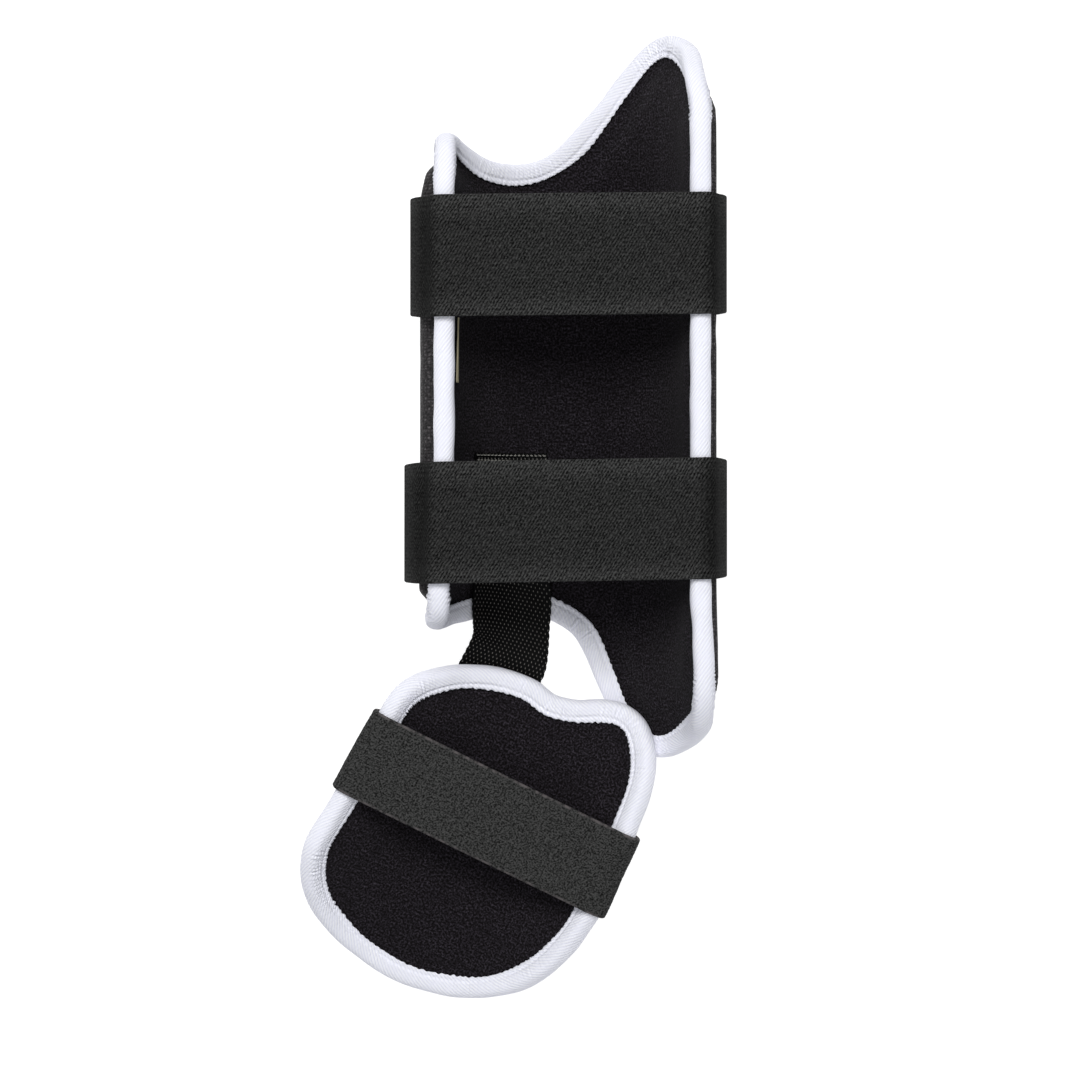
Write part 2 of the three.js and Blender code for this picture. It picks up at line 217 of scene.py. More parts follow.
LEG_STRAP = SimpleNamespace(
    width=50.0,
    thickness=1.8,
    tail=(44.0, 37.0, 30.0),  # places of its sewn tail, in from the rim round the pad
    tail_narrow=0.03,
    crown=0.5,  # how much higher its middle lies
    step=0.8,  # between points along it
    across_step=1.0,
)
StrapRow = namedtuple("StrapRow", "name node along turn bulge_left bulge_right end_shift")
LEG_STRAPS = [
    StrapRow("upper_elastic", "strap_upper", 144.0, 0.6, 3.2, 3.3, 1.6),
    StrapRow("lower_elastic", "strap_lower", 35.0, 0.95, 5.6, 3.4, 0.0),
]
STRAP_ASIDE = 0.4  # how far to the right of the leg's centre line the middle of the upper strap lies
# A leg strap's way over the rim. It comes up outside the rim's nose, by shares of its reach past the nose and
# a little narrower, then lies over the nose, out by millimetres.
BendRow = namedtuple("BendRow", "share up narrow")
LEG_STRAP_BEND = [
    BendRow(1.0, -22.0, 0.02),
    BendRow(0.9, -12.5, 0.012),
    BendRow(0.7, -5.0, 0.004),
]
TopRow = namedtuple("TopRow", "out rise")
LEG_STRAP_TOP = [TopRow(6.4, -5.6), TopRow(4.8, -1.7), TopRow(2.6, 0.0), TopRow(-8.0, 0.2)]

# Painted shade on a leg strap where it turns down over the rim: distances from its middle at which the shade
# starts, is darkest, eases and ends, and the tone there
PAINTED_FOLD_SHADE = SimpleNamespace(start=53.0, dark=59.0, ease=61.0, end=78.0, tone=0.5)

FOOT_STRAP = SimpleNamespace(
    width=37.0,
    thickness=1.8,
    tail=(26.0, 13.0, 4.0),
    along=12.8,
    crown=0.5,
    wrap=5.9,  # radius of its middle round the rim's nose
    bend=(-20.0, 35.0, 90.0),  # degrees round the nose
    inner=10.0,
    rise=0.2,
    step=0.5,
    across_step=0.5,
)
# Grains of its loop pile, and the pile's height
Grain = namedtuple("Grain", "size seed share")
LOOP_GRAINS = [Grain(0.75, 23, 0.4), Grain(0.5, 29, 0.6)]
PILE_HEIGHT = 0.3

WEBBING = SimpleNamespace(
    thickness=1.5,
    leg_across=-28.8,
    leg_half=20.0,
    foot_across=-21.6,
    foot_half=16.2,
    under_foot=(74.0, 62.0, 48.0, 36.0),
    strands=132,  # points across it
    step=0.36,  # between points along it
)
# Its weave: sizes of the cells, height of the threads and of those that go under, and the edge's scallops,
# which take up one part in so many of each half
WEAVE = SimpleNamespace(warp=1.05, weft=1.65, height=0.34, low=0.25, edge=0.35, edge_part=12.0)
# Rows of stitches across its upper end
WEBBING_SEAM = SimpleNamespace(rows=(1.1, 3.2), half=18.4, pitch=2.1)
# The webbing's way on the leg: its height over the lining or the binding, how far it is drawn to the right
# and how much wider it is
WayRow = namedtuple("WayRow", "along over rise aside wider")
WEBBING_ON_LEG = [
    WayRow(64.0, "lining", 0.0, 0.0, 0.0),
    WayRow(42.0, "lining", 0.0, 0.0, 0.0),
    WayRow(24.0, "lining", 0.3, 0.3, 0.3),
    WayRow(12.0, "lining", -0.3, 0.6, 0.6),
    WayRow(0.0, "binding", 0.8, 1.2, 0.6),
    WayRow(-9.0, "binding", 0.0, 1.6, -0.4),
]

# The label stands off the wall along its upper edge, more towards the knee
LABEL = SimpleNamespace(across=-68.5, along=106.5, width=6.0, length=27.0, thickness=0.6, lift=1.0, skew=0.8)

# The photograph's camera, straight over the guard
CAMERA = SimpleNamespace(x=-11.8, y=27.0, height=1400.0, lens=108.13, sensor=36.0)

# Lamps aimed at the origin, in metres and watts, and the even light round them
Lamp = namedtuple("Lamp", "name place size power")
LAMPS = [
    Lamp("key", (-0.12, 0.63, 1.35), 0.6, 14.4),
    Lamp("fill", (0.1, -0.45, 1.2), 0.9, 3.8),
]
WORLD_LIGHT = 0.27
WORLD_TINT = (0.9, 0.94, 1.0, 1.0)
FLOOR_GLOW = 0.9
FLOOR_DROP = 0.4  # how far under the part, clear of its pleats

# Small helpers


def smooth(t):
    t = np.clip(t, 0.0, 1.0)
    return t * t * (3.0 - 2.0 * t)


def mix(a, b, share):
    return a + (b - a) * share


def unit(vectors):
    return vectors / np.linalg.norm(vectors, axis=-1, keepdims=True)


def joined(parts):
    """Several lists of arrays as one, with the arrays at each place in them put together."""
    return [np.concatenate(arrays) for arrays in zip(*parts)]


def swell(inset):
    return smooth((inset - BOUND_DEPTH) / SWELL)


WAVE_SPREAD = (0.75, 1.4)  # how much shorter and longer than its nominal length a wave may be


def waves(u, v, length, seed, count=7):
    """Soft undulation between about -1 and 1: sine waves of about one length, in all directions."""
    rng = np.random.default_rng(seed)
    total = np.zeros(np.broadcast(u, v).shape)
    for _ in range(count):
        angle, phase = rng.uniform(0.0, 2.0 * math.pi, 2)
        pace = 2.0 * math.pi / (length * rng.uniform(*WAVE_SPREAD))
        total += np.sin(pace * (u * math.cos(angle) + v * math.sin(angle)) + phase)
    return total / math.sqrt(count)


def ring_waves(s, t, around, length, seed, count=7):
    """The same round a loop, where the waves meet themselves: s is the distance round it and t across it."""
    rng = np.random.default_rng(seed)
    total = np.zeros(np.broadcast(s, t).shape)
    for _ in range(count):
        turns = round(around / (length * rng.uniform(*WAVE_SPREAD)))
        slant, phase = rng.uniform(-1.0, 1.0), rng.uniform(0.0, 2.0 * math.pi)
        total += np.sin(2.0 * math.pi * (turns * s / around + slant * t / length) + phase)
    return total / math.sqrt(count)


def grain(u, v, size, seed, cells=512):
    """Random grain from 0 to 1 with cells of one size, blended between them."""
    table = np.random.default_rng(seed).random((cells, cells))
    x, y = u / size, v / size
    i, j = np.floor(x).astype(int), np.floor(y).astype(int)
    s, t = smooth(x - i), smooth(y - j)

    def corner(a, b):
        return table[(i + a) % cells, (j + b) % cells]

    return mix(mix(corner(0, 0), corner(1, 0), s), mix(corner(0, 1), corner(1, 1), s), t)


def smooth_line(nodes, closed=False, steps=EDGE_STEPS):
    """Points of a centripetal Catmull-Rom line through the nodes."""
    nodes = np.asarray(nodes, float)
    if closed:
        before, start, end, after = (np.roll(nodes, shift, axis=0) for shift in (1, 0, -1, -2))
    else:
        ends = (2 * nodes[0] - nodes[1], 2 * nodes[-1] - nodes[-2])
        longer = np.vstack([ends[0], nodes, ends[1]])
        before, start, end, after = longer[:-3], longer[1:-2], longer[2:-1], longer[3:]

    def pace(a, b):
        return np.sqrt(np.linalg.norm(b - a, axis=1, keepdims=True))

    first, middle, last = pace(before, start), pace(start, end), pace(end, after)
    leave = (start - before) / first - (end - before) / (first + middle) + (end - start) / middle
    arrive = (end - start) / middle - (after - start) / (middle + last) + (after - end) / last
    a, b, m, n = (x[:, None, :] for x in (start, end, leave * middle, arrive * middle))
    t = np.linspace(0.0, 1.0, steps, endpoint=False)[None, :, None]
    points = a + m * t + (3 * (b - a) - 2 * m - n) * t**2 + (2 * (a - b) + m + n) * t**3
    points = points.reshape(-1, nodes.shape[1])
    return points if closed else np.vstack([points, nodes[-1]])


def lengths_along(points):
    return np.concatenate([[0.0], np.cumsum(np.linalg.norm(np.diff(points, axis=0), axis=1))])


def spaced(points, shares):
    """The places at these shares of a line's length."""
    lengths = lengths_along(points)
    targets = np.asarray(shares) * lengths[-1]
    return np.stack([np.interp(targets, lengths, column) for column in points.T], axis=-1)


# Surface of the pads


def leg_bend(side, along, rise):
    """How far the leg pad's sides lean in, and how far its ends lift."""
    start, end = LEG.lean_fade
    left_lean = mix(LEG.left_foot_lean, LEG.left_lean, smooth((along - start) / (end - start)))
    spread = np.where(side < 0, LEG.left_spread, 0.0)
    start, end = LEG.right_fade
    right_lean = mix(LEG.right_foot_lean, LEG.right_lean, smooth((along - start) / (end - start)))
    lean = spread + np.where(side < 0, left_lean, right_lean)
    wall = lean * smooth((rise - LEG.lean_start) / LEG.lean_rise) - spread * smooth(rise / LEG.spread_rise)
    tip_lean = np.where(side < 0, LEG.left_tip_lean, LEG.right_tip_lean)
    tip_wall = tip_lean * smooth((rise - LEG.tip_start) / LEG.tip_rise)
    tip = smooth((along - np.where(side < 0, LEG.left_tip, LEG.right_tip)) / LEG.tip_reach)
    shift = mix(wall, tip_wall, tip)
    past = np.maximum(np.maximum(0.0, along - LEG.lift_above), LEG.lift_below - along)
    return shift, LEG.lift_height * (past / LEG.lift_reach) ** 2


def pad_point(pad, across, along, offset):
    """A place at a height over a pad's middle surface, which is a flat strip, two turns and two walls."""
    across, along, offset = np.broadcast_arrays(*(np.asarray(x, float) for x in (across, along, offset)))
    side = np.where(across < 0, -1.0, 1.0)
    away = np.abs(across)
    angle = np.clip((away - pad.flat) / pad.turn, 0.0, math.pi / 2)
    wall = np.maximum(0.0, away - pad.flat - pad.turn * math.pi / 2)
    reach = np.minimum(away, pad.flat) + (pad.turn - offset) * np.sin(angle)
    rise = pad.half + pad.turn * (1.0 - np.cos(angle)) + wall
    shift, lift = leg_bend(side, along, rise) if pad is LEG else (0.0, 0.0)
    return np.stack([side * (reach - shift), along, rise + offset * np.cos(angle) + lift], axis=-1)


def outline(edge):
    return smooth_line([(row.across, row.along) for row in edge], closed=True)


def edge_shares(length, edge_step, step):
    """Shares of a length from 0 to 1: close together over the bound and swelling edges, even in between."""
    rim = BOUND_DEPTH + SWELL
    edge = np.linspace(0.0, rim, round(rim / edge_step) + 1) / length
    middle = np.linspace(edge[-1], 1.0 - edge[-1], round((length - 2 * rim) / step) + 1)
    return np.concatenate([edge, middle[1:-1], 1.0 - edge[::-1]])


def pad_grid(edge, division):
    """A pad's grid of places, blended from the outline's four sides, and their distances from the edge."""
    border = outline(edge)
    corners = [i * EDGE_STEPS for i, row in enumerate(edge) if row.corner]
    closed = np.vstack([border, border[:1]])
    ends = [*corners[1:], len(border)]
    bottom, right, top, left = (closed[a : b + 1] for a, b in zip(corners, ends))
    columns = edge_shares(division.width, division.edge_step, division.step)
    rows = edge_shares(division.length, division.edge_step, division.step)
    low, high = spaced(bottom, columns), spaced(top, 1.0 - columns)
    near, far = spaced(left, 1.0 - rows), spaced(right, rows)
    s, t = columns[None, :, None], rows[:, None, None]
    grid = (1 - t) * low[None] + t * high[None] + (1 - s) * near[:, None] + s * far[:, None]
    grid -= (1 - s) * (1 - t) * low[0] + s * (1 - t) * low[-1] + (1 - s) * t * high[0] + s * t * high[-1]
    inset = [np.linalg.norm(row[:, None] - border[None], axis=-1).min(axis=1) for row in grid]
    return grid[..., 0], grid[..., 1], np.array(inset)


class Rim:
    """A pad's edge, read by the distance round it, outwards from it and up from the middle surface."""

    def __init__(self, pad, edge):
        self.pad = pad
        self.border = outline(edge)
        closed = np.vstack([self.border, self.border[:1]])
        self.lengths = lengths_along(closed)
        self.length = self.lengths[-1]
        count = round(self.length / BINDING.step)
        self.places = np.arange(count) * self.length / count
        self.line = spaced(closed, np.arange(count) / count)
        ahead, behind = np.roll(self.line, -1, axis=0), np.roll(self.line, 1, axis=0)
        self.tangent = unit(ahead - behind)
        turned = np.roll(self.tangent, -1, axis=0) - np.roll(self.tangent, 1, axis=0)
        cross = self.tangent[:, 0] * turned[:, 1] - self.tangent[:, 1] * turned[:, 0]
        self.curvature = cross / (2.0 * self.length / count)

    def read(self, values, place):
        return np.interp(place, self.places, values, period=self.length)

    def at(self, place, out, up):
        x, y = (self.read(self.line[:, k], place) for k in (0, 1))
        tx, ty = (self.read(self.tangent[:, k], place) for k in (0, 1))
        return pad_point(self.pad, x + out * ty, y - out * tx, up)

    def across(self, side, along, nearby=2.0):
        """How far across the rim lies on one side at a place along the pad."""
        close = (self.border[:, 0] * side > 0) & (np.abs(self.border[:, 1] - along) < nearby)
        return np.max(self.border[close, 0] * side)


# Meshes


def part_origin():
    """The leg frame's origin in the part's frame, from where the upper strap lies."""
    low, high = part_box(LEG_STRAPS[0].node)
    middle = (low + high) / 2
    row = LEG_STRAPS[0]
    return np.array([middle.x - STRAP_ASIDE * MM, middle.y - row.along * MM, 0.0])


ORIGIN = part_origin()


def grid_quads(rows, columns):
    index = np.arange(rows * columns).reshape(rows, columns)
    return np.stack([index[:-1, :-1], index[:-1, 1:], index[1:, 1:], index[1:, :-1]], -1).reshape(-1, 4)


def slab(top, bottom):
    """Points and quads of a slab between two grids of points, closed round its edge."""
    rows, columns = top.shape[:2]
    count = rows * columns
    index = np.arange(count).reshape(rows, columns)
    rim = np.concatenate([index[0, :-1], index[:-1, -1], index[-1, :0:-1], index[:0:-1, 0]])
    ahead = np.roll(rim, -1)
    walls = np.stack([rim, rim + count, ahead + count, ahead], -1)
    faces = grid_quads(rows, columns)
    quads = np.vstack([faces, faces[:, ::-1] + count, walls])
    return np.concatenate([top.reshape(-1, 3), bottom.reshape(-1, 3)]), quads


def signed_volume(points, quads):
    a, b, c, d = (points[quads[:, k]] for k in range(4))
    return (np.cross(b - a, c - a) * a).sum() + (np.cross(c - a, d - a) * a).sum()


def set_values(mesh, name, kind, domain, field, values):
    attribute = mesh.attributes.new(name, kind, domain)
    attribute.data.foreach_set(field, values.astype(np.float32).ravel())


def make_piece(name, points, quads, cloth, material, slot, node=None, relief=None, ring=None):
    """A closed mesh piece in metres, with its place on the cloth, in millimetres, for its material to read.

    The cloth of a ring meets its own start after that length.
    """
    if signed_volume(points - points.mean(axis=0), quads) < 0:
        quads = quads[:, ::-1]
    mesh = bpy.data.meshes.new(name)
    mesh.from_pydata((points * MM + ORIGIN).tolist(), [], quads.tolist())
    corners = cloth[quads]
    if ring:
        start = (np.ptp(corners[:, :, 0], axis=1) > ring / 2)[:, None] & (corners[:, :, 0] < ring / 2)
        corners[:, :, 0] += ring * start
    set_values(mesh, "cloth", "FLOAT_VECTOR", "CORNER", "vector", corners)
    if relief is not None:
        set_values(mesh, "relief", "FLOAT", "POINT", "value", relief)
    mesh.shade_smooth()
    mesh.materials.append(material)
    piece = bpy.data.objects.new(name, mesh)
    bpy.context.scene.collection.objects.link(piece)
    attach(piece, BODY)
    if node:
        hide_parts(node)
    return piece


def flat_cloth(u, v):
    return np.stack([u, v, np.zeros_like(u)], axis=-1)


def both_faces(values):
    """A grid's values for the points of a slab, whose two faces share them."""
    return np.concatenate([values, values]).reshape(-1, *values.shape[2:])


# Shapes of the pads and their bindings


def lining_height(pad, inset):
    """Height of the lining's face over the middle surface at a distance from the edge."""
    return mix(BOUND_HALF, pad.half, smooth((inset - BOUND_DEPTH) / LINING_SWELL))


def pad_layers(pad, edge, division, place):
    """The cover and the lining of one pad, each as points, quads and places on the cloth."""
    across, along, inset = pad_grid(edge, division)
    full = swell(inset)
    inner = smooth((inset - BOUND_DEPTH) / (3 * SWELL))
    near_edge = full * (1.0 - smooth((inset - BOUND_DEPTH - SWELL) / (2 * SWELL)))
    soft = UNEVEN.height * waves(across, along, UNEVEN.length, UNEVEN.seed) * inner
    soft += UNEVEN_EDGE.height * waves(across, along, UNEVEN_EDGE.length, UNEVEN_EDGE.seed) * near_edge
    seam = mix(0.0, pad.seam, swell(inset - SWELL / 2))
    outside = -mix(BOUND_HALF, pad.half, full) + np.maximum(0.0, soft)
    inside = lining_height(pad, inset) + UNEVEN_LINING * np.minimum(0.0, soft)
    layers = []
    for lower, upper in ((outside, seam), (seam + GAP, inside)):
        faces = [place(pad_point(pad, across, along, height)) for height in (upper, lower)]
        layers.append((*slab(*faces), both_faces(flat_cloth(across, along))))
    return layers


def binding_section():
    """The tape's outside, from free edge to free edge: shares of the flange's depth, and turns."""
    flange = np.linspace(1.0, 0.0, BINDING.flange_steps, endpoint=False)
    turn = np.linspace(math.pi / 2, -math.pi / 2, BINDING.nose_steps + 1)
    depth = np.concatenate([flange, np.zeros(len(turn)), flange[::-1]])
    angle = np.concatenate([np.full(len(flange), math.pi / 2), turn, np.full(len(flange), -math.pi / 2)])
    return depth, angle


def tight_bends(rim):
    """From 0 on straight stretches of a rim to 1 in bends as tight as the tape pleats in."""
    window = round(BINDING.tight / 2 / BINDING.step)
    bend = np.abs(np.convolve(np.tile(rim.curvature, 3), np.ones(window) / window, "same"))
    return smooth(bend[len(rim.places) : 2 * len(rim.places)] * BINDING.tight)[:, None]


def binding_mesh(rim, place):
    """The tape, folded over the edge: plump nose, seam groove, lower flanges, and pleats in bends."""
    depth, angle = binding_section()
    s = rim.places[:, None]
    side, flange = np.sign(angle), depth > 0

    def ring(wave, across):
        return ring_waves(s, wave.across * across, rim.length, wave.length, wave.seed)

    stitch = 2.0 * math.pi * s / (rim.length / round(rim.length / BINDING.stitch))
    wander = BINDING.scallop * (np.cos(stitch) + ring(TAPE_WAVES.scallop, side)) / 2
    wander = wander + BINDING.drift * ring(TAPE_WAVES.drift, side)
    inward = depth * (BINDING.depth + np.where(flange, wander, 0.0))
    around = np.where(flange, BINDING.half * math.pi / 2 + inward, BINDING.half * np.abs(angle)) * side
    groove = np.exp(-(((inward - BINDING.groove) / BINDING.groove_width) ** 2)) * flange
    beyond = smooth((inward - BINDING.groove) / BINDING.groove_width) * flange
    rolled = smooth((depth - BINDING.roll) / (1.0 - BINDING.roll))
    pleats = BINDING.pleat_height * tight_bends(rim)
    pleats = pleats * smooth((np.abs(around) - BINDING.pleat_start) / BINDING.pleat_fade)
    loose = BINDING.slack * ring(TAPE_WAVES.slack, around) + pleats * ring(TAPE_WAVES.pleat, around)
    plump = BINDING.plump
    nose = (np.abs(np.cos(angle)) ** plump + np.abs(np.sin(angle)) ** plump) ** (-1 / plump)
    tug = 1.0 - BINDING.stitch_tug * (1.0 - np.cos(stitch))
    pulled = BINDING.groove_depth * groove * tug + BINDING.flange_drop * beyond
    radius = BINDING.half * nose - pulled - BINDING.edge_drop * rolled + loose * (1.0 - groove)
    radius = np.maximum(radius, BINDING.channel + GAP)
    out = np.where(flange, -inward, radius * np.cos(angle))
    outer = rim.at(np.broadcast_to(s, out.shape), out, radius * np.sin(angle))
    columns = np.linspace(len(angle) - 1, 0, BINDING.inner_columns).round().astype(int)
    inner_out = np.where(flange, -inward + GAP, BINDING.channel * np.cos(angle))[:, columns]
    inner_up = np.broadcast_to(BINDING.channel * np.sin(angle), out.shape)[:, columns]
    inner = rim.at(np.broadcast_to(s, inner_out.shape), inner_out, inner_up)
    points = np.concatenate([outer, inner], axis=1)
    index = np.arange(points.shape[0] * points.shape[1]).reshape(points.shape[:2])
    ahead = np.roll(index, -1, axis=0)
    quads = np.stack([index, ahead, np.roll(ahead, -1, axis=1), np.roll(index, -1, axis=1)], -1)
    cloth = flat_cloth(np.broadcast_to(s, around.shape), around)
    cloth = np.concatenate([cloth, cloth[:, columns]], axis=1)
    return place(points.reshape(-1, 3)), quads.reshape(-1, 4), cloth.reshape(-1, 3)


# Shapes of the stitches


def threads(starts, ends, ups):
    """Short arched threads from start to end, joined into one mesh."""
    run = ends - starts
    aside = unit(np.cross(run, ups))
    share = np.linspace(0.0, 1.0, THREAD.rings)
    taper = np.sqrt(np.clip(1.0 - (2.0 * share - 1.0) ** THREAD.blunt, THREAD.tip, 1.0))
    turn = np.arange(THREAD.sides) * 2.0 * math.pi / THREAD.sides
    height = THREAD.radius * (THREAD.arch * np.sin(math.pi * share) - THREAD.sink)
    middle = starts[:, None] + run[:, None] * share[None, :, None] + ups[:, None] * height[None, :, None]
    around = aside[:, None] * np.cos(turn)[None, :, None] + ups[:, None] * np.sin(turn)[None, :, None]
    points = middle[:, :, None] + around[:, None] * (THREAD.radius * taper)[None, :, None, None]
    count = THREAD.rings * THREAD.sides
    index = np.arange(count).reshape(THREAD.rings, THREAD.sides)
    ring = [index[:-1], np.roll(index[:-1], -1, axis=1), np.roll(index[1:], -1, axis=1), index[1:]]
    walls = np.stack(ring, -1).reshape(-1, 4)
    half = THREAD.sides // 2
    cap = np.array([[0, half + 2, half + 1, half], [0, half, half - 1, half - 2]])
    one = np.vstack([walls, index[0][cap], index[-1][cap][:, ::-1]])
    quads = (one[None] + count * np.arange(len(starts))[:, None, None]).reshape(-1, 4)
    cloth = np.broadcast_to(share[None, :, None], points.shape[:3])
    return points.reshape(-1, 3), quads, flat_cloth(cloth, cloth).reshape(-1, 3)


def binding_threads(rim, place):
    """The seam's stitches on both sides of the tape."""
    count = round(rim.length / BINDING.stitch)
    start = np.arange(count) * rim.length / count + BINDING.bare * BINDING.stitch
    end = start + (1.0 - 2.0 * BINDING.bare) * BINDING.stitch
    level = BINDING.half - BINDING.groove_depth - BINDING.flange_drop / 2
    made = []
    for side in (1.0, -1.0):
        a, b = (place(rim.at(where, -BINDING.groove, side * level)) for where in (start, end))
        raised = place(rim.at((start + end) / 2, -BINDING.groove, side * (level + 1.0)))
        made.append((a, b, unit(raised - (a + b) / 2)))
    return threads(*joined(made))


def grid_reader(grid):
    """Reads a strap's grid of points at a distance along it and across it from its middle."""
    along = lengths_along(grid[len(grid) // 2])
    across = lengths_along(grid[:, grid.shape[1] // 2])
    across -= across[-1] / 2
    normal = grid_normals(grid)

    def read(values, u, v):
        c = np.interp(u, along, np.arange(len(along)))
        r = np.interp(v, across, np.arange(len(across)))
        i, j = np.minimum(r.astype(int), len(across) - 2), np.minimum(c.astype(int), len(along) - 2)
        s, t = (r - i)[:, None], (c - j)[:, None]
        near = mix(values[i, j], values[i, j + 1], t)
        return mix(near, mix(values[i + 1, j], values[i + 1, j + 1], t), s)

    return SimpleNamespace(
        length=along[-1],
        point=lambda u, v: read(grid, u, v),
        normal=lambda u, v: read(normal, u, v),
    )


def seam_threads(reader, corners, pitch, height, side=1.0):
    """Stitches along straight seams on a strap, from corner to corner, each (u, v)."""
    made = []
    for (u0, v0), (u1, v1) in zip(corners, corners[1:]):
        count = max(1, round(math.hypot(u1 - u0, v1 - v0) / pitch))
        start, end = ((np.arange(count) + part) / count for part in (THREAD.bare, 1.0 - THREAD.bare))
        a, b = ((mix(u0, u1, share), mix(v0, v1, share)) for share in (start, end))
        up = side * unit(reader.normal((a[0] + b[0]) / 2, (a[1] + b[1]) / 2))
        made.append((reader.point(*a) + up * height, reader.point(*b) + up * height, up))
    return joined(made)


# Shapes of the straps and the webbing


def grid_normals(grid):
    return unit(np.cross(np.gradient(grid, axis=1), np.gradient(grid, axis=0)))


def ribbon(grid, half, relief=0.0, back_relief=0.0):
    """A slab on both sides of a grid of points, with its own half thickness at each."""
    normal = grid_normals(grid)
    half = np.broadcast_to(half, grid.shape[:2])
    return slab(grid + normal * (half + relief)[..., None], grid - normal * (half + back_relief)[..., None])


def strap_rows(strap, round_steps=5, thinnest=0.02):
    """Places across a strap, closer at its rounded edges, and its half thickness there."""
    round_edge = strap.thickness / 2
    flat = strap.width / 2 - round_edge
    bow = round_edge * np.sin(np.linspace(0.0, math.pi / 2, round_steps))
    inner = np.linspace(-flat, flat, round(2 * flat / strap.across_step) + 1)
    places = np.concatenate([-flat - bow[:0:-1], inner, flat + bow[1:]])
    past = np.maximum(0.0, np.abs(places) - flat) / round_edge
    return places, round_edge * np.sqrt(np.maximum(thinnest, 1.0 - past**2))


def join_halves(left, right, crown):
    middle = (left[-1] + right[-1]) / 2 + np.array([0.0, 0.0, crown])
    return [*left, middle, *right[::-1]]


def leg_strap_nodes(rim, row, share):
    """A leg strap runs up the outer side, slopes in over the rim and lies flat across."""
    seat = LEG.half + 2 * GAP + LEG_STRAP.thickness / 2
    crest = BINDING.half + 2 * GAP + LEG_STRAP.thickness / 2
    along = row.along + share

    def drawn_in(narrow):
        return row.along + share * (1.0 - narrow) + row.end_shift * narrow / LEG_STRAP_BEND[0].narrow

    halves = []
    for side, bulge in ((-1.0, row.bulge_left), (1.0, row.bulge_right)):
        across = rim.across(side, row.along)
        nose = pad_point(LEG, side * across, along, 0.0)
        reach = LEG.flat + LEG.turn + LEG.half + bulge - side * nose[0]
        low = drawn_in(LEG_STRAP.tail_narrow)
        under = [pad_point(LEG, side * (across - step), low, -seat) for step in LEG_STRAP.tail]
        bend = [(side * b.share * reach, drawn_in(b.narrow) - along, b.up) for b in LEG_STRAP_BEND]
        top = [(side * t.out, 0.0, crest + t.rise) for t in LEG_STRAP_TOP]
        halves.append([*under, *(nose + np.array([*bend, *top]))])
    nodes = np.array(join_halves(*halves, LEG_STRAP.crown))
    nodes[:, 1] += nodes[:, 0] * math.tan(math.radians(row.turn))
    return nodes


def foot_strap_nodes(rim, along):
    """The foot strap wraps round the rim's nose from the outer face and lies flat across."""
    seat = FOOT.half + GAP + FOOT_STRAP.thickness / 2
    halves = []
    for side in (-1.0, 1.0):
        across = rim.across(side, along)
        nose = pad_point(FOOT, side * across, along, 0.0)
        under = [pad_point(FOOT, side * (across - step), along, -seat) for step in FOOT_STRAP.tail]
        turns = [math.radians(degrees) for degrees in FOOT_STRAP.bend]
        bend = [nose + FOOT_STRAP.wrap * np.array([side * math.cos(a), 0.0, math.sin(a)]) for a in turns]
        last = nose + np.array([-side * FOOT_STRAP.inner, 0.0, FOOT_STRAP.wrap + FOOT_STRAP.rise])
        halves.append([*under, *bend, last])
    return np.array(join_halves(*halves, FOOT_STRAP.crown))


def line_grid(lines, step):
    """Rows of points along lines of about one length, with their distances along."""
    length = lengths_along(lines[len(lines) // 2])[-1]
    shares = np.linspace(0.0, 1.0, round(length / step) + 1)
    return np.array([spaced(line, shares) for line in lines]), shares * length


def webbing_nodes(share, foot_place):
    above = {"lining": LEG.half + GAP, "binding": BINDING.half + GAP}
    middle = WEBBING.thickness / 2
    on_leg = []
    for row in WEBBING_ON_LEG:
        across = WEBBING.leg_across + row.aside + share * (WEBBING.leg_half + row.wider)
        on_leg.append(pad_point(LEG, across, row.along, above[row.over] + middle + row.rise))
    across = WEBBING.foot_across + share * WEBBING.foot_half
    below = -(FOOT.half + GAP + middle)
    return [*on_leg, *(foot_place(pad_point(FOOT, across, along, below)) for along in WEBBING.under_foot)]


# Materials


def colour(red, green, blue):
    """A colour in the shader's linear values from its usual 0 to 255 ones."""
    shares = [x / 255.0 for x in (red, green, blue)]
    return (*(x / 12.92 if x <= 0.04045 else ((x + 0.055) / 1.055) ** 2.4 for x in shares), 1.0)


